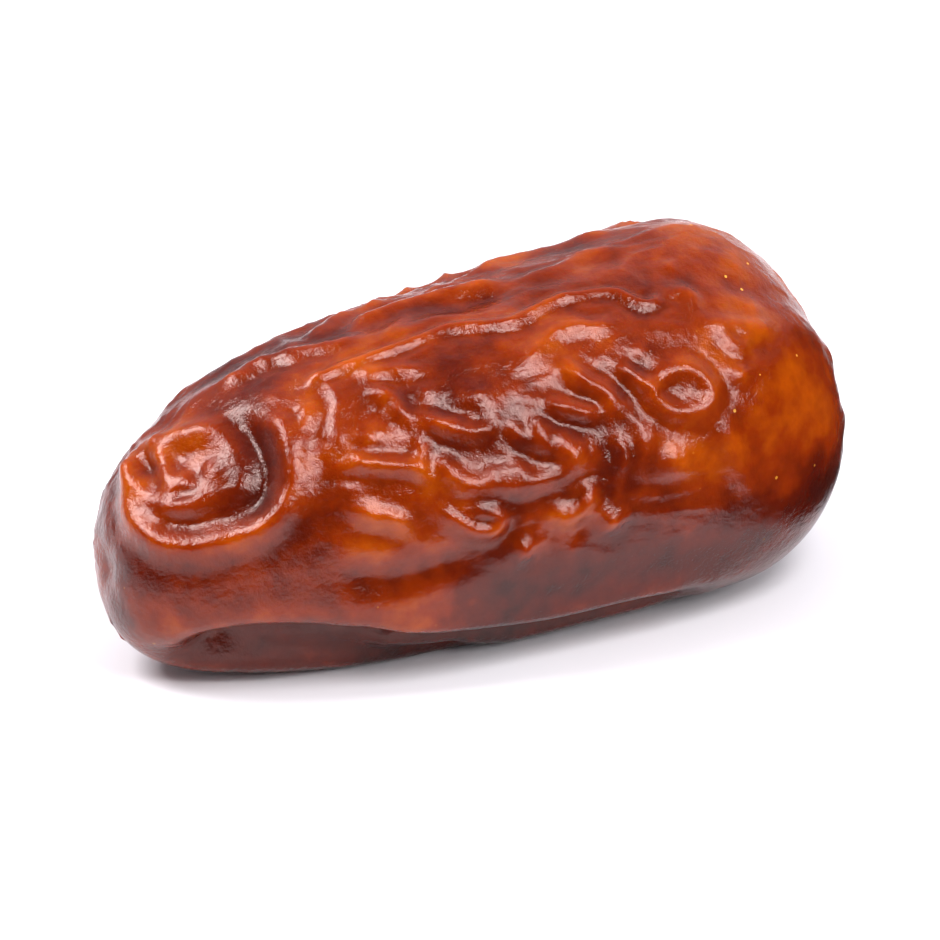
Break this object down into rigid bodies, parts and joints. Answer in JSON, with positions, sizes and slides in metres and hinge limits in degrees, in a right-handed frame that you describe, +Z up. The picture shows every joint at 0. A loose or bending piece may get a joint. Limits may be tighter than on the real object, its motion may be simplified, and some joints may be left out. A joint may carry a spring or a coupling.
{
  "type": "dried date",
  "caption": "Whole dried date, an oblong wrinkled fruit with a blunt tip and a puckered stem scar, lying on a flattened belly.",
  "frame": {"origin": "on the table, under the middle of the fruit", "axes": "+X along the fruit towards the stem end, -Y the flank that faces the viewer in the picture, +Z up from the table"},
  "size_m": [0.0452, 0.0216, 0.0206],
  "materials": {
    "date_skin": "taut dried fruit skin, glossy, thin and slightly see-through, sticky with its own sugar"
  },
  "bodies": {
    "root": {"date": "date_skin"}
  },
  "joints": []
}
